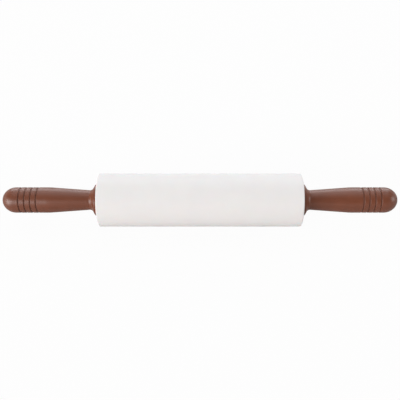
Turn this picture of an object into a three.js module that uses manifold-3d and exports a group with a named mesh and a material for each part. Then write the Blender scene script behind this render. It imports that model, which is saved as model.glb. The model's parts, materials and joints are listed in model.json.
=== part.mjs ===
// Rolling pin: a silicone-covered barrel that turns on a through axle between two moulded handles.
// Millimetres, +X along the axle, +Z up, origin on the axis at the middle of the barrel.

import * as THREE from "three";
import { mergeVertices } from "three/addons/utils/BufferGeometryUtils.js";
import Module from "manifold-3d";

const wasm = await Module();
wasm.setup();

// Barrel: silicone sleeve over a plastic core tube
const BARREL_LENGTH = 226;
const BARREL_DIAMETER = 60;
const SLEEVE_WALL = 3;
const SLEEVE_EDGE_RADIUS = 1;
const LIP_THICKNESS = 2; // the sleeve turns in over each end by a lip
const LIP_OVERLAP = 3.5; // from the sleeve's bore inwards
const CORE_WALL = 3.6;

// End caps: a flanged plate with a spigot in the core tube and a ribbed hub for the bush
const CAP_RECESS = 0.4; // the cap's face lies this far inside the sleeve's end
const CAP_EDGE = 0.5;
const CAP_PLATE = 4.5;
const CAP_FLANGE = 2;
const SPIGOT_LENGTH = 14;
const SPIGOT_WALL = 2.4;
const HUB_WALL = 2.4;
const RIB_COUNT = 6;
const RIB_THICKNESS = 2;
const RIB_SETBACK = 2; // ribs stop short of the hub's and the spigot's ends

// Bearing bushes and thrust washers
const BUSH_LENGTH = 16;
const BUSH_WALL = 2.4;
const BUSH_FLANGE_WIDTH = 2;
const BUSH_FLANGE_THICKNESS = 1.6;
const BUSH_LEAD = 0.6;
const THRUST_WASHER_WIDTH = 3.6;
const THRUST_WASHER_THICKNESS = 1.5;

// Axle: a rod with a shoulder and a thinner threaded end inside each handle
const AXLE_DIAMETER = 10;
const AXLE_SHOULDER = 1; // step in radius
const SHOULDER_DEPTH = 3; // how far the full diameter reaches into the handle's bore
const AXLE_CHAMFER = 0.8;
const AXLE_PROUD = 3; // the threaded end stands this far out of the nut

// Handles: coned flange, tapered neck, ringed grip and a domed cap
const HANDLE_LENGTH = 108;
const FLANGE_DIAMETER = 35;
const FLANGE_THICKNESS = 3.6;
const FLANGE_EDGE = 0.8;
const FLANGE_SLOPE = 60; // degrees between the axis and the cone behind the flange
const NECK_FILLET = 3.2; // between the cone and the neck
const NECK_DIAMETER = 22.2;
const GRIP_DIAMETER = 28.7;
const GRIP_BLEND = 6; // length over which the taper eases into the straight grip
const GRIP_LAND = 10; // straight length before the first ring groove
const GRIP_WALL = 3;
const GROOVE_COUNT = 4;
const GROOVE_PITCH = 6.5;
const GROOVE_WIDTH = 1.8;
const GROOVE_DEPTH = 0.8;
const GROOVE_TIP_DISTANCE = 21; // from the tip to the outermost groove
const WASHER_RECESS = 0.4; // the thrust washer sits this deep in the flange's face

// Domed caps: a hollow spigot snaps into the grip's open end
const DOME_LENGTH = 15.2; // the half-ellipse that rounds off the handle
const DOME_SPIGOT_LENGTH = 10;
const DOME_SPIGOT_WALL = 2.4;
const SOCKET_RELIEF = 2; // the grip's socket is deeper than the spigot by this
const SNAP_WIDTH = 2;
const SNAP_HEIGHT = 0.5;

// Nut and washer that clamp each handle against the axle's shoulder
const NUT_SEAT_DEPTH = 40; // from the flange's face
const NUT_WALL = 2.5; // from the thread to a flat
const NUT_HEIGHT = 6.5;
const NUT_WASHER_WIDTH = 3.7;
const NUT_WASHER_THICKNESS = 1.6;
const SPANNER_ROOM = 1; // round the nut's corners

// Clearances
const FIT = 0.3; // between pieces that seat on each other
const RUNNING = 0.2; // between the axle and what turns on it

// Facets
const BARREL_SIDES = 32;
const HANDLE_SIDES = 32;
const AXLE_SIDES = 24;
const ARC_STEPS = 3;
const FILLET_STEPS = 4;
const BLEND_STEPS = 3;
const GROOVE_STEPS = 4;
const SNAP_STEPS = 2;
const DOME_STEPS = 8;

// Radii that pieces share
const barrelRadius = BARREL_DIAMETER / 2;
const sleeveBore = barrelRadius - SLEEVE_WALL;
const mouthRadius = sleeveBore - LIP_OVERLAP;
const coreRadius = sleeveBore - FIT;
const coreBore = coreRadius - CORE_WALL;
const axleRadius = AXLE_DIAMETER / 2;
const axleBore = axleRadius + RUNNING;
const threadRadius = axleRadius - AXLE_SHOULDER;
const threadBore = threadRadius + FIT;
const bushRadius = axleBore + BUSH_WALL;
const bushFlangeRadius = bushRadius + BUSH_FLANGE_WIDTH;
const thrustWasherRadius = axleBore + THRUST_WASHER_WIDTH;
const flangeRadius = FLANGE_DIAMETER / 2;
const neckRadius = NECK_DIAMETER / 2;
const gripRadius = GRIP_DIAMETER / 2;
const socketRadius = gripRadius - GRIP_WALL;
const domeSpigotRadius = socketRadius - FIT;
const nutFlatRadius = threadBore + NUT_WALL;
const nutCornerRadius = nutFlatRadius / Math.cos(Math.PI / 6);

// Places along the axis, from the middle of the barrel
const barrelEnd = BARREL_LENGTH / 2;
const capFace = barrelEnd - CAP_RECESS;
const capFlangeFace = barrelEnd - LIP_THICKNESS - FIT;
const coreEnd = capFlangeFace - CAP_FLANGE - FIT;
const handleFace = capFace + FIT + THRUST_WASHER_THICKNESS + FIT - WASHER_RECESS;

// Places along a handle, from its flange's face outwards
const thrustWasherFace = WASHER_RECESS - FIT;
const shoulder = WASHER_RECESS + SHOULDER_DEPTH;
const shoulderSeat = shoulder + FIT;
const nutWasherFace = NUT_SEAT_DEPTH + FIT;
const nutFace = nutWasherFace + NUT_WASHER_THICKNESS + FIT;
const axleTip = nutFace + NUT_HEIGHT + AXLE_PROUD;
const seam = HANDLE_LENGTH - GROOVE_TIP_DISTANCE;
const snapCentre = seam - DOME_SPIGOT_LENGTH / 2;

const MATERIALS = {
  silicone: new THREE.MeshStandardMaterial({ color: 0xebe8e5, roughness: 0.6, metalness: 0 }),
  core: new THREE.MeshStandardMaterial({ color: 0xd9d7d2, roughness: 0.55, metalness: 0 }),
  cap: new THREE.MeshStandardMaterial({ color: 0xe6e4e0, roughness: 0.45, metalness: 0 }),
  nylon: new THREE.MeshStandardMaterial({ color: 0xd8d2c0, roughness: 0.5, metalness: 0 }),
  handle: new THREE.MeshStandardMaterial({ color: 0x784c3e, roughness: 0.42, metalness: 0 }),
  steel: new THREE.MeshStandardMaterial({ color: 0xb9bcc0, roughness: 0.3, metalness: 1 }),
};

// Points [axial, radius] on a stretch of an ellipse about a centre.
// Angles run from the axial direction towards growing radius.
function bend(axial, radius, axialReach, radialReach, fromDegrees, toDegrees, steps) {
  return Array.from({ length: steps + 1 }, (_, i) => {
    const angle = THREE.MathUtils.degToRad(fromDegrees + ((toDegrees - fromDegrees) * i) / steps);
    return [axial + axialReach * Math.cos(angle), radius + radialReach * Math.sin(angle)];
  });
}

function arc(axial, radius, reach, fromDegrees, toDegrees, steps) {
  return bend(axial, radius, reach, reach, fromDegrees, toDegrees, steps);
}

// A solid of revolution about X. The profile's [axial, radius] points run outwards along the outside
// and back along the inside. The half-side turn puts a flat side at the bottom.
function revolve(profile, sides) {
  const points = profile.map(([axial, radius]) => new THREE.Vector2(radius, axial));
  if (profile[0][1] > 0) points.push(points[0].clone());
  return new THREE.LatheGeometry(points, sides, Math.PI / sides).rotateZ(-Math.PI / 2);
}

function ring(from, to, bore, radius, sides) {
  return revolve(
    [
      [from, bore],
      [from, radius],
      [to, radius],
      [to, bore],
    ],
    sides,
  );
}

function solidOf(geometry) {
  const bare = geometry.clone().deleteAttribute("normal").deleteAttribute("uv");
  const merged = mergeVertices(bare);
  return new wasm.Manifold(
    new wasm.Mesh({
      numProp: 3,
      vertProperties: merged.attributes.position.array,
      triVerts: new Uint32Array(merged.index.array),
    }),
  );
}

function geometryOf(solid) {
  const mesh = solid.getMesh();
  const geometry = new THREE.BufferGeometry();
  geometry.setAttribute("position", new THREE.BufferAttribute(mesh.vertProperties, 3));
  geometry.setIndex(new THREE.BufferAttribute(mesh.triVerts, 1));
  geometry.computeVertexNormals();
  return geometry;
}

function part(name, geometry, material) {
  const mesh = new THREE.Mesh(geometry, material);
  mesh.name = name;
  return mesh;
}

// Silicone tube with rounded ends and a lip at each end that holds the end cap's flange
function sleeve() {
  const lipFace = barrelEnd - LIP_THICKNESS;
  const edge = barrelEnd - SLEEVE_EDGE_RADIUS;
  const rim = barrelRadius - SLEEVE_EDGE_RADIUS;
  return revolve(
    [
      [-barrelEnd, mouthRadius],
      ...arc(-edge, rim, SLEEVE_EDGE_RADIUS, 180, 90, ARC_STEPS),
      ...arc(edge, rim, SLEEVE_EDGE_RADIUS, 90, 0, ARC_STEPS),
      [barrelEnd, mouthRadius],
      [lipFace, mouthRadius],
      [lipFace, sleeveBore],
      [-lipFace, sleeveBore],
      [-lipFace, mouthRadius],
    ],
    BARREL_SIDES,
  );
}

function coreTube() {
  return ring(-coreEnd, coreEnd, coreBore, coreRadius, BARREL_SIDES);
}

// Moulded cap: face plate inside the lip, flange behind it, spigot, hub and radial ribs
function endCap() {
  const spigotRadius = coreBore - FIT;
  const spigotBore = spigotRadius - SPIGOT_WALL;
  const faceRadius = mouthRadius - FIT;
  const hubBore = bushRadius + FIT;
  const hubMouth = bushFlangeRadius + FIT;
  const hubRadius = hubMouth + HUB_WALL;
  const hubEnd = capFace - BUSH_LENGTH;
  const plateBack = capFace - CAP_PLATE;
  const flangeBack = capFlangeFace - CAP_FLANGE;
  const spigotEnd = flangeBack - SPIGOT_LENGTH;
  const bushSeat = capFace - BUSH_FLANGE_THICKNESS - FIT;
  const body = revolve(
    [
      [hubEnd, hubBore],
      [hubEnd, hubRadius],
      [plateBack, hubRadius],
      [plateBack, spigotBore],
      [spigotEnd, spigotBore],
      [spigotEnd, spigotRadius],
      [flangeBack, spigotRadius],
      [flangeBack, coreRadius],
      [capFlangeFace, coreRadius],
      [capFlangeFace, faceRadius],
      [capFace - CAP_EDGE, faceRadius],
      [capFace, faceRadius - CAP_EDGE],
      [capFace, hubMouth],
      [bushSeat, hubMouth],
      [bushSeat, hubBore],
    ],
    BARREL_SIDES,
  );
  const inHub = hubRadius - HUB_WALL / 2;
  const inWall = spigotBore + SPIGOT_WALL / 2;
  const inPlate = plateBack + CAP_PLATE / 2;
  const outline = new THREE.Shape([
    new THREE.Vector2(hubEnd + RIB_SETBACK, inHub),
    new THREE.Vector2(inPlate, inHub),
    new THREE.Vector2(inPlate, inWall),
    new THREE.Vector2(spigotEnd + RIB_SETBACK, inWall),
  ]);
  const rib = new THREE.ExtrudeGeometry(outline, { depth: RIB_THICKNESS, bevelEnabled: false });
  rib.translate(0, 0, -RIB_THICKNESS / 2);
  let cap = solidOf(body);
  for (let i = 0; i < RIB_COUNT; i++) {
    const turn = ((i + 0.5) * 2 * Math.PI) / RIB_COUNT;
    cap = cap.add(solidOf(rib.clone().rotateX(turn)));
  }
  return geometryOf(cap);
}

// Flanged nylon bush in the cap's hub, flush with the cap's face
function bush() {
  const inner = capFace - BUSH_LENGTH;
  const flangeBack = capFace - BUSH_FLANGE_THICKNESS;
  return revolve(
    [
      [inner, axleBore],
      [inner, bushRadius - BUSH_LEAD],
      [inner + BUSH_LEAD, bushRadius],
      [flangeBack, bushRadius],
      [flangeBack, bushFlangeRadius],
      [capFace, bushFlangeRadius],
      [capFace, axleBore],
    ],
    AXLE_SIDES,
  );
}

function axle() {
  const step = handleFace + shoulder;
  const tip = handleFace + axleTip;
  const half = [
    [step, axleRadius],
    [step, threadRadius],
    [tip - AXLE_CHAMFER, threadRadius],
    [tip, threadRadius - AXLE_CHAMFER],
    [tip, 0],
  ];
  const mirrored = half.map(([axial, radius]) => [-axial, radius]).reverse();
  return revolve([...mirrored, ...half], AXLE_SIDES);
}

function thrustWasher() {
  const inner = thrustWasherFace - THRUST_WASHER_THICKNESS;
  return ring(inner, thrustWasherFace, axleBore, thrustWasherRadius, AXLE_SIDES);
}

// Part of a rounded ring groove round the grip, between two angles across its width
function groove(axial, fromDegrees, toDegrees, steps) {
  return bend(axial, gripRadius, GROOVE_WIDTH / 2, GROOVE_DEPTH, fromDegrees, toDegrees, steps);
}

// Snap ring on the dome's spigot, and the groove for it in the grip's socket
function snap(radius, fromDegrees, toDegrees) {
  return bend(snapCentre, radius, SNAP_WIDTH / 2, SNAP_HEIGHT, fromDegrees, toDegrees, SNAP_STEPS);
}

// Outside of the grip from the flange's face to the seam in the outermost groove
function gripOutside() {
  const edge = Math.min(FLANGE_EDGE, FLANGE_THICKNESS / 3);
  const rim = flangeRadius - edge;
  const coneFacing = 90 - FLANGE_SLOPE;
  const corner = arc(FLANGE_THICKNESS - edge, rim, edge, 90, coneFacing, ARC_STEPS);
  const [coneStart, coneRadius] = corner.at(-1);
  const fillet = arc(0, neckRadius + NECK_FILLET, NECK_FILLET, 180 + coneFacing, 270, FILLET_STEPS);
  const [filletStart, filletRadius] = fillet[0];
  const coneLength = (coneRadius - filletRadius) / Math.tan(THREE.MathUtils.degToRad(FLANGE_SLOPE));
  const neck = coneStart + coneLength - filletStart;
  const firstGroove = seam - (GROOVE_COUNT - 1) * GROOVE_PITCH;
  const straight = firstGroove - GRIP_LAND;
  const taper = (gripRadius - neckRadius) / (straight - GRIP_BLEND / 2 - neck);
  const easing = Array.from({ length: BLEND_STEPS + 1 }, (_, i) => {
    const left = GRIP_BLEND * (1 - i / BLEND_STEPS);
    return [straight - left, gripRadius - (taper * left * left) / (2 * GRIP_BLEND)];
  });
  const grooves = Array.from({ length: GROOVE_COUNT - 1 }, (_, i) =>
    groove(firstGroove + i * GROOVE_PITCH, 180, 360, GROOVE_STEPS),
  );
  return [
    ...arc(edge, rim, edge, 180, 90, ARC_STEPS),
    ...corner,
    ...fillet.map(([axial, radius]) => [neck + axial, radius]),
    ...easing,
    ...grooves.flat(),
    ...groove(seam, 180, 270, GROOVE_STEPS / 2),
  ];
}

// Handle moulding: flange, neck and grip, bored for the axle and hollow beyond the nut's seat
function grip() {
  const washerBore = thrustWasherRadius + FIT;
  const socketFloor = seam - DOME_SPIGOT_LENGTH - SOCKET_RELIEF;
  return revolve(
    [
      [0, washerBore],
      ...gripOutside(),
      [seam, socketRadius],
      ...snap(socketRadius, 0, 180),
      [socketFloor, socketRadius],
      [NUT_SEAT_DEPTH, nutCornerRadius + SPANNER_ROOM],
      [NUT_SEAT_DEPTH, threadBore],
      [shoulderSeat, threadBore],
      [shoulderSeat, axleBore],
      [WASHER_RECESS, axleBore],
      [WASHER_RECESS, washerBore],
    ],
    HANDLE_SIDES,
  );
}

// Domed cap that closes the grip's end; its edge is the other half of the outermost groove
function dome() {
  const spigotBore = domeSpigotRadius - DOME_SPIGOT_WALL;
  const spigotEnd = seam - DOME_SPIGOT_LENGTH;
  const hollowCentre = HANDLE_LENGTH - GRIP_WALL - spigotBore;
  return revolve(
    [
      ...arc(hollowCentre, 0, spigotBore, 0, 90, DOME_STEPS / 2),
      [spigotEnd, spigotBore],
      [spigotEnd, domeSpigotRadius],
      ...snap(domeSpigotRadius, 180, 0),
      [seam + FIT, domeSpigotRadius],
      [seam + FIT, gripRadius - GROOVE_DEPTH],
      ...groove(seam, 270, 360, GROOVE_STEPS / 2).slice(1),
      ...bend(HANDLE_LENGTH - DOME_LENGTH, 0, DOME_LENGTH, gripRadius, 90, 0, DOME_STEPS),
    ],
    HANDLE_SIDES,
  );
}

function nutWasher() {
  const radius = threadBore + NUT_WASHER_WIDTH;
  return ring(nutWasherFace, nutWasherFace + NUT_WASHER_THICKNESS, threadBore, radius, AXLE_SIDES);
}

function lockNut() {
  const corners = Array.from({ length: 6 }, (_, i) => {
    const angle = (i * Math.PI) / 3;
    return new THREE.Vector2(nutCornerRadius * Math.cos(angle), nutCornerRadius * Math.sin(angle));
  });
  const outline = new THREE.Shape(corners);
  outline.holes.push(new THREE.Path().absarc(0, 0, threadBore, 0, 2 * Math.PI, true));
  const options = { depth: NUT_HEIGHT, bevelEnabled: false, curveSegments: AXLE_SIDES / 2 };
  return new THREE.ExtrudeGeometry(outline, options).rotateY(Math.PI / 2).translate(nutFace, 0, 0);
}

// Cap and bush at one end of the barrel, modelled at the right end
function barrelEndPieces(side) {
  const pieces = new THREE.Group();
  pieces.add(
    part(`${side}_end_cap`, endCap(), MATERIALS.cap),
    part(`${side}_bush`, bush(), MATERIALS.nylon),
  );
  return pieces;
}

// Handle and its fastening, modelled from the flange's face outwards along +X
function handlePieces(side) {
  const pieces = new THREE.Group();
  pieces.position.x = handleFace;
  pieces.add(
    part(`${side}_thrust_washer`, thrustWasher(), MATERIALS.steel),
    part(`${side}_grip`, grip(), MATERIALS.handle),
    part(`${side}_grip_dome`, dome(), MATERIALS.handle),
    part(`${side}_nut_washer`, nutWasher(), MATERIALS.steel),
    part(`${side}_lock_nut`, lockNut(), MATERIALS.steel),
  );
  return pieces;
}

const rollingPin = new THREE.Group();
rollingPin.add(
  part("silicone_sleeve", sleeve(), MATERIALS.silicone),
  part("core_tube", coreTube(), MATERIALS.core),
  part("axle", axle(), MATERIALS.steel),
);
for (const [side, turn] of [
  ["right", 0],
  ["left", Math.PI],
]) {
  const end = new THREE.Group();
  end.rotation.z = turn;
  end.add(barrelEndPieces(side), handlePieces(side));
  rollingPin.add(end);
}

export default rollingPin;
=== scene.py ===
# Rolling pin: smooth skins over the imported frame, their materials, and a plain white studio.
# Metres, +X along the axle, +Z up, origin on the axis at the middle of the barrel.

import json
import math

import bmesh
import bpy
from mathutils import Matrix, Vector


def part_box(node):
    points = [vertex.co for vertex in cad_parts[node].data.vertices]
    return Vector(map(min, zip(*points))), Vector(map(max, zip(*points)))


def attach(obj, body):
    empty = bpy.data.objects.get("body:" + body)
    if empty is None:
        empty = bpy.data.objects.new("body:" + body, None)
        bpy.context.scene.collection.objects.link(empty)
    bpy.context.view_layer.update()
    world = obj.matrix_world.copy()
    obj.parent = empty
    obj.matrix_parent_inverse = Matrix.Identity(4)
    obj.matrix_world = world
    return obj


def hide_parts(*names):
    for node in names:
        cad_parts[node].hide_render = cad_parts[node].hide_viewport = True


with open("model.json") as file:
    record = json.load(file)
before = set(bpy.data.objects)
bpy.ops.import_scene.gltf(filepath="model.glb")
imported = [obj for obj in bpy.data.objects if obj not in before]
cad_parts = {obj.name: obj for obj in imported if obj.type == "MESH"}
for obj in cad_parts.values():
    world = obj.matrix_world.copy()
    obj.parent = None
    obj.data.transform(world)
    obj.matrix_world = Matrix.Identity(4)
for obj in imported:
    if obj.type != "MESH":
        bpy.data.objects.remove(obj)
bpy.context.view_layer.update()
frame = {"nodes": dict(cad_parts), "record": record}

# Sleeve: silicone tube that turns in over both ends of the barrel
SLEEVE_WALL = 0.003
SLEEVE_EDGE_RADIUS = 0.001
LIP_THICKNESS = 0.002
LIP_OVERLAP = 0.0035  # from the sleeve's bore inwards
LIP_EDGE_RADIUS = 0.0006

# Handle: coned flange, tapered neck, ringed grip
FLANGE_THICKNESS = 0.0036
FLANGE_EDGE = 0.0008  # radius of the rim's two edges
FLANGE_SLOPE = 60  # degrees between the axis and the cone behind the flange
NECK_FILLET = 0.005  # between the cone and the neck
NECK_RADIUS = 0.0111
GRIP_BLEND = 0.006  # length over which the taper eases into the straight grip
GRIP_LAND = 0.010  # straight length before the first ring groove
GROOVE_COUNT = 4
GROOVE_PITCH = 0.0065
GROOVE_WIDTH = 0.0018
GROOVE_DEPTH = 0.0008
GROOVE_EDGE = 0.00025  # radius of a groove's softened edges
PARTING_ANGLE = math.radians(115)  # from the front, over the top, to one of the mould's two parting lines
PARTING_HEIGHT = 0.00006
PARTING_HALF_WIDTH = math.radians(1.2)

# Handle's inside: radii of the bores, depths from the flange's face, and the socket's depth from the seam
WASHER_BORE = 0.0091
WASHER_RECESS = 0.0004
AXLE_BORE = 0.0052
SHOULDER_SEAT = 0.0037
THREAD_BORE = 0.0043
NUT_SEAT = 0.040
NUT_ROOM = 0.00885
SOCKET_RADIUS = 0.01135
SOCKET_DEPTH = 0.012

# Dome: round end with a hollow spigot in the socket and a gate mark at its tip
DOME_LENGTH = 0.0152
SEAM_GAP = 0.00015
SPIGOT_RADIUS = 0.01105
SPIGOT_BORE = 0.00865
SPIGOT_LENGTH = 0.010
DOME_WALL = 0.003
GATE_RADIUS = 0.0013
GATE_DEPTH = 0.0002
GATE_EDGE = 0.0003

# Fineness of the skins
SIDES = 144
EDGE_STEPS = 6
FILLET_STEPS = 14
BLEND_STEPS = 14
GROOVE_STEPS = 12
DOME_STEPS = 40
LONG_STRETCH = 0.001  # a straight stretch longer than this gets two more rings
HOLD = 0.00015  # from each of them to the stretch's end
SHARP_ANGLE = math.radians(50)
ON_AXIS = 1e-9  # a ring with a smaller radius is a single corner
SAME_PLACE = 1e-7  # corners this close are one

# Patterns: how fine each noise is, where most of its values lie, and which edges get painted shade in
# hollows or are lightened as wear with a painted highlight
DRIFT_DETAIL = 6
GLOSS_DETAIL = 4
GRAIN_DETAIL = 3
NOISE_LOW = 0.3
NOISE_HIGH = 0.7
EDGE_FADE = 0.15  # the share of a full edge below which neither shows
FULL_EDGE_RADIUS = 0.0008  # an edge this sharp gets the full lightening of wear and painted highlight, or the full painted shade where it is hollow

# Camera: the photograph's framing
IMAGE_PIXELS = 400
SENSOR = 36  # millimetres, as the lens is
METRES_PER_PIXEL = 0.00113  # at the pin's axis
PIXELS_TO_LENS = 560  # the viewing distance in pixels
ELEVATION = math.radians(55)
CLIP_NEAR = 0.01
CLIP_FAR = 100

# Light level and floor
WORLD_LIGHT = 0.165
NEUTRAL_LIGHT = (1, 1, 1)
COOL_LIGHT = (0.965, 1.0, 1.035)
FLOOR_RADIUS = 8.0
SWEEP_RADIUS = 5.0  # the floor rises all round into a low wall
SWEEP_STEPS = 16
FLOOR_SIDES = 64
FLOOR_COLOUR = (0.60, 0.59, 0.58)
FLOOR_DRIFT = 0.01
FLOOR_NOISE_SCALE = 3
FLOOR_NOISE_DETAIL = 4
FLOOR_SHOWN_WHITE = 0.96  # the rest of what the camera sees is the lit floor with the pin's shadow
NEAR_FLOOR = 0.4  # reflections show the shaded floor within this distance
FAR_FLOOR = 2.0  # and past this one the white that the camera sees

# Arch of softboxes behind and above the pin: name, degrees above the floor, height and brightness
ARCH_DISTANCE = 5.4
ARCH_WIDTH = 7.0
ARCH = (
    ("low_back_softbox", 10, 1.5, 4.4),
    ("middle_back_softbox", 32, 2.2, 2.25),
    ("high_back_softbox", 62, 2.4, 1.6),
    ("top_softbox", 88, 2.2, 0.55),
)

# Softboxes in front and at the sides: name, place, the point that it faces, width, height and brightness
SIDE_SOFTBOXES = (
    ("front_left_softbox", (-3.1, -4.0, 3.0), (-0.15, 0, 0), 3.4, 2.0, 7.4),
    ("left_softbox", (-4.9, -2.6, 1.3), (-0.2, 0, 0), 3.2, 2.5, 8.5),
    ("right_softbox", (5.2, -0.6, 2.1), (0.2, 0, 0), 2.4, 2.0, 5.6),
)

# Places and radii taken from the frame. A faceted CAD ring's flats lie inside its full radius.
CAD_SIDES = 32
flat_share = math.cos(math.pi / CAD_SIDES)
sleeve_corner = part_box("silicone_sleeve")[1]
grip_low, grip_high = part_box("right_grip")
dome_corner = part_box("right_grip_dome")[1]
barrel_end = sleeve_corner.x
barrel_radius = sleeve_corner.z / flat_share
handle_face = grip_low.x
seam = grip_high.x
flange_radius = grip_high.z / flat_share
tip = dome_corner.x
grip_radius = dome_corner.z / flat_share
first_groove = seam - (GROOVE_COUNT - 1) * GROOVE_PITCH


def bend(axial, radius, axial_reach, radial_reach, start, end, steps):
    """Points on a stretch of an ellipse. Degrees run from the axial direction towards growing radius."""
    angles = [math.radians(start + (end - start) * i / steps) for i in range(steps + 1)]
    return [(axial + axial_reach * math.cos(a), radius + radial_reach * math.sin(a)) for a in angles]


def arc(axial, radius, reach, start, end, steps=EDGE_STEPS):
    return bend(axial, radius, reach, reach, start, end, steps)


def sleeve_profile():
    mouth = barrel_radius - SLEEVE_WALL - LIP_OVERLAP
    bore = barrel_radius - SLEEVE_WALL
    edge = barrel_end - SLEEVE_EDGE_RADIUS
    rim = barrel_radius - SLEEVE_EDGE_RADIUS
    soft = barrel_end - LIP_EDGE_RADIUS
    soft_mouth = mouth + LIP_EDGE_RADIUS
    back = barrel_end - LIP_THICKNESS
    outside = [
        *arc(-soft, soft_mouth, LIP_EDGE_RADIUS, 270, 180),
        *arc(-edge, rim, SLEEVE_EDGE_RADIUS, 180, 90),
        *arc(edge, rim, SLEEVE_EDGE_RADIUS, 90, 0),
        *arc(soft, soft_mouth, LIP_EDGE_RADIUS, 0, -90),
    ]
    inside = [(back, mouth), (back, bore), (-back, bore), (-back, mouth)]
    return outside, inside


def groove(axial):
    """Round-bottomed ring groove whose floor runs smoothly into its softened edges."""
    shoulder = GROOVE_WIDTH / 2 + GROOVE_EDGE
    level = grip_radius - GROOVE_EDGE
    between_centres = (shoulder**2 / GROOVE_DEPTH + GROOVE_DEPTH) / 2
    floor_radius = between_centres - GROOVE_EDGE
    floor_centre = grip_radius - GROOVE_DEPTH + floor_radius
    wall = math.degrees(math.asin(shoulder / between_centres))
    floor = arc(axial, floor_centre, floor_radius, 270 - wall, 270 + wall, GROOVE_STEPS)
    return [
        *arc(axial - shoulder, level, GROOVE_EDGE, 90, 90 - wall),
        *floor[1:-1],
        *arc(axial + shoulder, level, GROOVE_EDGE, 90 + wall, 90),
    ]


def flange_and_neck():
    """Rounded rim, the cone behind it, and the fillet into the neck."""
    rim = flange_radius - FLANGE_EDGE
    cone_facing = 90 - FLANGE_SLOPE
    face_edge = arc(handle_face + FLANGE_EDGE, rim, FLANGE_EDGE, 180, 90)
    cone_edge = arc(handle_face + FLANGE_THICKNESS - FLANGE_EDGE, rim, FLANGE_EDGE, 90, cone_facing)
    fillet = arc(0, NECK_RADIUS + NECK_FILLET, NECK_FILLET, 180 + cone_facing, 270, FILLET_STEPS)
    cone_drop = cone_edge[-1][1] - fillet[0][1]
    neck = cone_edge[-1][0] + cone_drop / math.tan(math.radians(FLANGE_SLOPE)) - fillet[0][0]
    return face_edge + cone_edge + [(neck + axial, radius) for axial, radius in fillet]


def taper_from(neck):
    """Easing out of the straight taper into the straight grip."""
    straight = first_groove - GRIP_LAND
    taper = (grip_radius - NECK_RADIUS) / (straight - GRIP_BLEND / 2 - neck)
    ways = [GRIP_BLEND * (1 - i / BLEND_STEPS) for i in range(BLEND_STEPS + 1)]
    return [(straight - way, grip_radius - taper * way * way / (2 * GRIP_BLEND)) for way in ways]


def grip_profile():
    outside = flange_and_neck()
    outside += taper_from(outside[-1][0])
    for i in range(GROOVE_COUNT - 1):
        outside += groove(first_groove + i * GROOVE_PITCH)
    outside += [point for point in groove(seam) if point[0] < seam]
    inside = [
        (seam, grip_radius - GROOVE_DEPTH),
        (seam, SOCKET_RADIUS),
        (seam - SOCKET_DEPTH, SOCKET_RADIUS),
        (handle_face + NUT_SEAT, NUT_ROOM),
        (handle_face + NUT_SEAT, THREAD_BORE),
        (handle_face + SHOULDER_SEAT, THREAD_BORE),
        (handle_face + SHOULDER_SEAT, AXLE_BORE),
        (handle_face + WASHER_RECESS, AXLE_BORE),
        (handle_face + WASHER_RECESS, WASHER_BORE),
        (handle_face, WASHER_BORE),
    ]
    return outside, inside


def dome_profile():
    face = seam + SEAM_GAP
    centre = tip - DOME_LENGTH
    gate_angle = math.degrees(math.asin((GATE_RADIUS + GATE_EDGE) / grip_radius))
    gate_rim = centre + DOME_LENGTH * math.cos(math.radians(gate_angle))
    hollow = tip - DOME_WALL - SPIGOT_BORE
    outside = [
        (face, grip_radius - GROOVE_DEPTH),
        *[point for point in groove(seam) if point[0] > face],
        *bend(centre, 0, DOME_LENGTH, grip_radius, 90, gate_angle, DOME_STEPS),
        (gate_rim - GATE_DEPTH, GATE_RADIUS),
        (gate_rim - GATE_DEPTH, 0),
    ]
    inside = [
        *arc(hollow, 0, SPIGOT_BORE, 0, 90, DOME_STEPS // 2),
        (seam - SPIGOT_LENGTH, SPIGOT_BORE),
        (seam - SPIGOT_LENGTH, SPIGOT_RADIUS),
        (face, SPIGOT_RADIUS),
    ]
    return outside, inside


def held(profile):
    """Adds a point close to both ends of each long stretch, so that smooth shading leaves it straight."""
    points = profile[:1]
    for start, end in zip(profile, profile[1:]):
        length = math.dist(start, end)
        if length > LONG_STRETCH:
            for share in (HOLD / length, 1 - HOLD / length):
                points.append(tuple(Vector(start).lerp(Vector(end), share)))
        points.append(end)
    return points


def edge_turns(profile):
    """How sharply an outside profile turns at each point: 1 on a sharp outward edge, -1 in a hollow, 0 on a
    flat.
    """
    turns = [0.0] * len(profile)
    for i in range(1, len(profile) - 1):
        before = Vector(profile[i]) - Vector(profile[i - 1])
        after = Vector(profile[i + 1]) - Vector(profile[i])
        length = (before.length + after.length) / 2
        if min(before.length, after.length) > 0:
            turn = before.angle_signed(after) / length * FULL_EDGE_RADIUS
            turns[i] = max(-1.0, min(1.0, turn))
    return turns


def ring_angles():
    """Angles round a ring. Two of them lie on the mould's parting lines, with close neighbours."""
    half = SIDES // 2
    step = math.pi / half
    angles = []
    for i in range(SIDES):
        angle = i * step
        if i % half == 1:
            angle = (i - 1) * step + PARTING_HALF_WIDTH
        if i % half == half - 1:
            angle = (i + 1) * step - PARTING_HALF_WIDTH
        angles.append(PARTING_ANGLE + angle)
    return angles


def add_ring(maker, axial, radius, parting):
    """One ring of corners, or a single corner on the axis."""
    if radius < ON_AXIS:
        return [maker.verts.new((axial, 0, 0))]
    corners = []
    for i, angle in enumerate(ring_angles()):
        reach = radius + (parting if i % (SIDES // 2) == 0 else 0)
        corners.append(maker.verts.new((axial, -reach * math.cos(angle), reach * math.sin(angle))))
    return corners


def join_rings(maker, ring, other):
    """Faces between two rings. Two corners on the axis have none between them."""
    if len(ring) == 1 and len(other) == 1:
        return
    for i in range(SIDES):
        j = (i + 1) % SIDES
        if len(ring) == 1:
            maker.faces.new((ring[0], other[j], other[i]))
        elif len(other) == 1:
            maker.faces.new((ring[i], ring[j], other[0]))
        else:
            maker.faces.new((ring[i], ring[j], other[j], other[i]))


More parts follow.
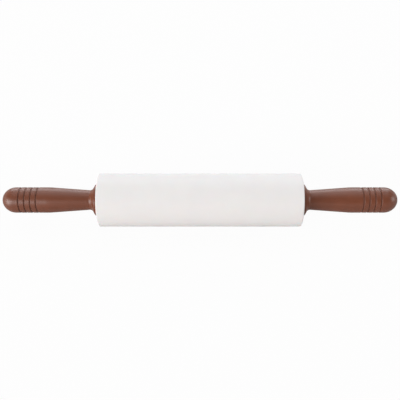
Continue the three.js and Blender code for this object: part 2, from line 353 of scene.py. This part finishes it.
def add_mesh(name, maker):
    """Smooth-shaded object from what the maker holds."""
    mesh = bpy.data.meshes.new(name)
    maker.to_mesh(mesh)
    maker.free()
    mesh.shade_smooth()
    added = bpy.data.objects.new(name, mesh)
    bpy.context.scene.collection.objects.link(added)
    return added


def skin(name, profile, direction, parting=0.0):
    """Closed solid of revolution about X from an outside profile and an inside profile that runs back."""
    outside, inside = profile
    outside = held(outside)
    maker = bmesh.new()
    edge = maker.verts.layers.float.new("edge")
    rings = []
    for (axial, radius), turn in zip(outside, edge_turns(outside)):
        ring = add_ring(maker, direction * axial, radius, parting)
        for corner in ring:
            corner[edge] = turn
        rings.append(ring)
    rings += [add_ring(maker, direction * axial, radius, 0.0) for axial, radius in inside]
    for ring, other in zip(rings, rings[1:] + rings[:1]):
        join_rings(maker, ring, other)
    bmesh.ops.remove_doubles(maker, verts=maker.verts, dist=SAME_PLACE)
    bmesh.ops.recalc_face_normals(maker, faces=maker.faces)
    piece = add_mesh(name, maker)
    piece.data.set_sharp_from_angle(angle=SHARP_ANGLE)
    return piece


def blank_nodes(name):
    material = bpy.data.materials.new(name)
    material.use_nodes = True
    material.node_tree.nodes.clear()
    return material, material.node_tree.nodes, material.node_tree.links


def shade(colour, factor):
    return [min(1.0, channel * factor) for channel in colour] + [1.0]


def stretched_place(nodes, links, stretch):
    """Place on the piece for its patterns. A small number draws them out along that axis."""
    places = nodes.new("ShaderNodeTexCoord")
    mapping = nodes.new("ShaderNodeMapping")
    mapping.inputs["Scale"].default_value = stretch
    links.new(places.outputs["Object"], mapping.inputs["Vector"])
    return mapping.outputs["Vector"]


def noise(nodes, links, place, scale, detail):
    pattern = nodes.new("ShaderNodeTexNoise")
    pattern.inputs["Scale"].default_value = scale
    pattern.inputs["Detail"].default_value = detail
    links.new(place, pattern.inputs["Vector"])
    return pattern.outputs["Fac"]


def remap(nodes, links, value, low, high, to_low, to_high):
    ranged = nodes.new("ShaderNodeMapRange")
    ranged.inputs["From Min"].default_value = low
    ranged.inputs["From Max"].default_value = high
    ranged.inputs["To Min"].default_value = to_low
    ranged.inputs["To Max"].default_value = to_high
    links.new(value, ranged.inputs["Value"])
    return ranged.outputs["Result"]


def mix(nodes, links, kind, factor, value, other):
    """Mixes a linked number (kind FLOAT) or colour (kind RGBA) towards a plain one."""
    mixer = nodes.new("ShaderNodeMix")
    mixer.data_type = kind
    links.new(factor, mixer.inputs["Factor"])
    links.new(value, mixer.inputs["A"])
    mixer.inputs["B"].default_value = other
    return mixer.outputs["Result"]


def combine(nodes, links, operation, value, other):
    """Product of two linked numbers, the larger of them, or the like."""
    combiner = nodes.new("ShaderNodeMath")
    combiner.operation = operation
    links.new(value, combiner.inputs[0])
    links.new(other, combiner.inputs[1])
    return combiner.outputs["Value"]


def tones(nodes, links, value, colour, drift, low=0.0, high=1.0):
    """Runs from a little darker than a colour to a little lighter while a value goes from low to high."""
    ramp = nodes.new("ShaderNodeValToRGB")
    darkest = ramp.color_ramp.elements[0]
    lightest = ramp.color_ramp.elements[1]
    darkest.position = low
    darkest.color = shade(colour, 1 - drift)
    lightest.position = high
    lightest.color = shade(colour, 1 + drift)
    links.new(value, ramp.inputs["Fac"])
    return ramp.outputs["Color"]


def surface(name, look):
    """Moulded or drawn surface: drifting tone, painted shade in hollows, edges lightened by wear and a
    painted highlight, uneven gloss and fine grain.
    """
    material, nodes, links = blank_nodes(name)
    shader = nodes.new("ShaderNodeBsdfPrincipled")
    output = nodes.new("ShaderNodeOutputMaterial")
    links.new(shader.outputs["BSDF"], output.inputs["Surface"])
    for socket, value in look["shader"].items():
        shader.inputs[socket].default_value = value

    place = stretched_place(nodes, links, look["stretch"])
    edge = nodes.new("ShaderNodeAttribute")
    edge.attribute_name = "edge"
    # Painted shade: the colour is darkened in hollows, where shade falls, and the hollows are made rougher.
    painted_hollow_shade = remap(nodes, links, edge.outputs["Fac"], -EDGE_FADE, -1, 0, look["painted_hollow_shade"])
    # Outward edges are lightened: wear, and in part a painted edge highlight.
    wear_and_edge_highlight = remap(nodes, links, edge.outputs["Fac"], EDGE_FADE, 1, 0, look["wear_and_edge_highlight"])

    colour = look["colour"]
    drift = noise(nodes, links, place, look["drift_scale"], DRIFT_DETAIL)
    clean = tones(nodes, links, drift, colour, look["drift"], NOISE_LOW, NOISE_HIGH)
    # Darkens the colour in hollows: painted shade.
    with_hollow_shade = mix(nodes, links, "RGBA", painted_hollow_shade, clean, shade(colour, look["hollow_shade_darkening"]))
    # Lightens the colour on outward edges: wear and painted highlight.
    with_lit_worn_edges = mix(nodes, links, "RGBA", wear_and_edge_highlight, with_hollow_shade, shade(colour, look["edge_highlight_lightening"]))
    links.new(with_lit_worn_edges, shader.inputs["Base Color"])

    gloss = noise(nodes, links, place, look["gloss_scale"], GLOSS_DETAIL)
    clean_roughness = remap(nodes, links, gloss, NOISE_LOW, NOISE_HIGH, *look["roughness"])
    # Rougher in the hollows that get the painted shade.
    roughness = mix(nodes, links, "FLOAT", painted_hollow_shade, clean_roughness, look["hollow_roughness"])
    links.new(roughness, shader.inputs["Roughness"])

    height = noise(nodes, links, place, look["grain_scale"], GRAIN_DETAIL)
    grain = nodes.new("ShaderNodeBump")
    grain.inputs["Strength"].default_value = look["grain"]
    grain.inputs["Distance"].default_value = look["grain_depth"]
    links.new(height, grain.inputs["Height"])
    links.new(grain.outputs["Normal"], shader.inputs["Normal"])
    return material


# Looks: linear colour, plain shader numbers, stretch, scale and strength of the patterns, roughness range
PLASTIC = {
    "shader": {"IOR": 1.48},
    "stretch": (1, 1, 1),
    "drift": 0.03,
    "drift_scale": 60,
    # Painted shade in hollows: its strength, how dark it makes the colour, and the roughness there
    "painted_hollow_shade": 0.5,
    "hollow_shade_darkening": 0.7,
    "hollow_roughness": 0.9,
    # Lighter outward edges, from wear and a painted highlight: strength and how much lighter
    "wear_and_edge_highlight": 0.4,
    "edge_highlight_lightening": 1.1,
    "gloss_scale": 120,
    "roughness": (0.42, 0.50),
    "grain": 0.15,
    "grain_scale": 2600,
    "grain_depth": 0.0001,
}

STEEL = {
    **PLASTIC,
    "shader": {"Metallic": 1.0},
    "stretch": (0.04, 1, 1),
    "drift": 0.10,
    "drift_scale": 900,
    "gloss_scale": 900,
    "roughness": (0.24, 0.38),
    "grain": 0.2,
    "grain_scale": 1500,
}

LOOKS = {
    "white_silicone": {
        **PLASTIC,
        "colour": (0.765, 0.737, 0.723),
        "shader": {
            "IOR": 1.41,
            "Specular IOR Level": 0.2,
            "Subsurface Weight": 0.1,
            "Subsurface Scale": 0.002,
        },
        "drift": 0.012,
        "drift_scale": 45,
        # No painted shade in the hollows
        "painted_hollow_shade": 0.0,
        # Edges lightened a little, from wear and a painted highlight
        "wear_and_edge_highlight": 0.2,
        "edge_highlight_lightening": 1.03,
        "roughness": (0.74, 0.84),
        "grain": 0.2,
        "grain_scale": 1800,
    },
    "brown_plastic": {
        **PLASTIC,
        "colour": (0.1525, 0.0432, 0.0188),
        "drift": 0.07,
        "drift_scale": 70,
        # Painted shade in the grooves: its strength and how dark it makes the colour
        "painted_hollow_shade": 0.55,
        "hollow_shade_darkening": 0.55,
        # Edges lightened, from wear and a painted highlight
        "wear_and_edge_highlight": 0.3,
        "edge_highlight_lightening": 1.15,
        "roughness": (0.35, 0.41),
    },
    "white_plastic": {**PLASTIC, "colour": (0.79, 0.77, 0.74)},
    "core_plastic": {**PLASTIC, "colour": (0.69, 0.68, 0.65)},
    "bush_nylon": {**PLASTIC, "colour": (0.69, 0.64, 0.53)},
    "axle_steel": {**STEEL, "colour": (0.48, 0.50, 0.52)},
    "fastener_steel": {**STEEL, "colour": (0.50, 0.50, 0.50), "stretch": (1, 1, 1)},
}


def paint(piece, material):
    piece.data.materials.clear()
    piece.data.materials.append(material)


def dress(piece, node, slot, body):
    """The piece takes the CAD node's place on its body, with the slot's finish."""
    paint(piece, finishes[slot])
    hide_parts(node)
    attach(piece, body)


def shown_white(nodes, links, place):
    """How much of the floor shows as plain white: nearly all to the camera and through glass, and in
    reflections as much only far from the pin."""
    path = nodes.new("ShaderNodeLightPath")
    length = nodes.new("ShaderNodeVectorMath")
    length.operation = "LENGTH"
    links.new(place, length.inputs[0])
    distance = length.outputs["Value"]
    mirrored = remap(nodes, links, distance, NEAR_FLOOR, FAR_FLOOR, 0, FLOOR_SHOWN_WHITE)
    reflected = combine(nodes, links, "MULTIPLY", path.outputs["Is Glossy Ray"], mirrored)
    camera_ray = path.outputs["Is Camera Ray"]
    straight = combine(nodes, links, "MAXIMUM", camera_ray, path.outputs["Is Transmission Ray"])
    seen = remap(nodes, links, straight, 0, 1, 0, FLOOR_SHOWN_WHITE)
    return combine(nodes, links, "MAXIMUM", reflected, seen)


def floor_material():
    material, nodes, links = blank_nodes("pale_floor")
    lit = nodes.new("ShaderNodeBsdfDiffuse")
    white = nodes.new("ShaderNodeEmission")
    mixer = nodes.new("ShaderNodeMixShader")
    output = nodes.new("ShaderNodeOutputMaterial")
    place = nodes.new("ShaderNodeTexCoord").outputs["Object"]
    drift = noise(nodes, links, place, FLOOR_NOISE_SCALE, FLOOR_NOISE_DETAIL)
    links.new(tones(nodes, links, drift, FLOOR_COLOUR, FLOOR_DRIFT), lit.inputs["Color"])
    links.new(shown_white(nodes, links, place), mixer.inputs["Fac"])
    links.new(lit.outputs["BSDF"], mixer.inputs[1])
    links.new(white.outputs["Emission"], mixer.inputs[2])
    links.new(mixer.outputs["Shader"], output.inputs["Surface"])
    return material


def add_floor():
    """Round floor that sweeps up into a low wall, so that it fills the background on every side."""
    turns = [2 * math.pi * i / FLOOR_SIDES for i in range(FLOOR_SIDES)]
    maker = bmesh.new()
    rings = []
    for radius, height in arc(FLOOR_RADIUS, SWEEP_RADIUS, SWEEP_RADIUS, 270, 360, SWEEP_STEPS):
        ring = [maker.verts.new((radius * math.cos(t), radius * math.sin(t), height)) for t in turns]
        rings.append(ring)
    maker.faces.new(rings[0])
    for ring, other in zip(rings, rings[1:]):
        for i in range(FLOOR_SIDES):
            j = (i + 1) % FLOOR_SIDES
            maker.faces.new((ring[i], other[i], other[j], ring[j]))
    floor = add_mesh("floor", maker)
    floor.location.z = -barrel_radius
    paint(floor, floor_material())


def add_world():
    world = bpy.data.worlds.new("studio")
    bpy.context.scene.world = world
    world.use_nodes = True
    nodes = world.node_tree.nodes
    nodes.clear()
    light = nodes.new("ShaderNodeBackground")
    light.inputs["Strength"].default_value = WORLD_LIGHT
    light.inputs["Color"].default_value = (*NEUTRAL_LIGHT, 1)
    output = nodes.new("ShaderNodeOutputWorld")
    world.node_tree.links.new(light.outputs["Background"], output.inputs["Surface"])


def add_softbox(name, place, target, width, height, brightness, tint):
    """Rectangular lamp that faces a point. Brightness 1 looks as bright as lit white paper."""
    lamp = bpy.data.lights.new(name, "AREA")
    lamp.color = tint
    lamp.shape = "RECTANGLE"
    lamp.size = width
    lamp.size_y = height
    lamp.energy = brightness * math.pi * width * height
    softbox = bpy.data.objects.new(name, lamp)
    softbox.location = place
    softbox.rotation_euler = (Vector(target) - Vector(place)).to_track_quat("-Z", "Y").to_euler()
    softbox.visible_camera = False
    bpy.context.scene.collection.objects.link(softbox)


def add_lights():
    for name, elevation, height, brightness in ARCH:
        turn = math.radians(elevation)
        place = (0, ARCH_DISTANCE * math.cos(turn), ARCH_DISTANCE * math.sin(turn))
        add_softbox(name, place, (0, 0, 0), ARCH_WIDTH, height, brightness, COOL_LIGHT)
    for name, place, target, width, height, brightness in SIDE_SOFTBOXES:
        add_softbox(name, place, target, width, height, brightness, NEUTRAL_LIGHT)


def add_camera():
    distance = PIXELS_TO_LENS * METRES_PER_PIXEL
    back = Vector((0, -math.cos(ELEVATION), math.sin(ELEVATION)))
    data = bpy.data.cameras.new("camera")
    data.sensor_width = SENSOR
    data.lens = SENSOR * PIXELS_TO_LENS / IMAGE_PIXELS
    data.clip_start = CLIP_NEAR
    data.clip_end = CLIP_FAR
    camera = bpy.data.objects.new("camera", data)
    camera.location = back * distance
    camera.rotation_euler = (-back).to_track_quat("-Z", "Y").to_euler()
    bpy.context.scene.collection.objects.link(camera)
    bpy.context.scene.camera = camera


finishes = {slot: surface(slot, look) for slot, look in LOOKS.items()}
for subpart in frame["record"]["subparts"]:
    paint(frame["nodes"][subpart["node"]], finishes[subpart["material_slot"]])

dress(skin("sleeve_skin", sleeve_profile(), 1), "silicone_sleeve", "white_silicone", "barrel")
for side, direction in (("left", -1), ("right", 1)):
    grip = skin(f"{side}_grip_skin", grip_profile(), direction, PARTING_HEIGHT)
    dome = skin(f"{side}_dome_skin", dome_profile(), direction)
    dress(grip, f"{side}_grip", "brown_plastic", "handles")
    dress(dome, f"{side}_grip_dome", "brown_plastic", "handles")

add_floor()
add_world()
add_lights()
add_camera()
bpy.context.scene.view_settings.view_transform = "Standard"
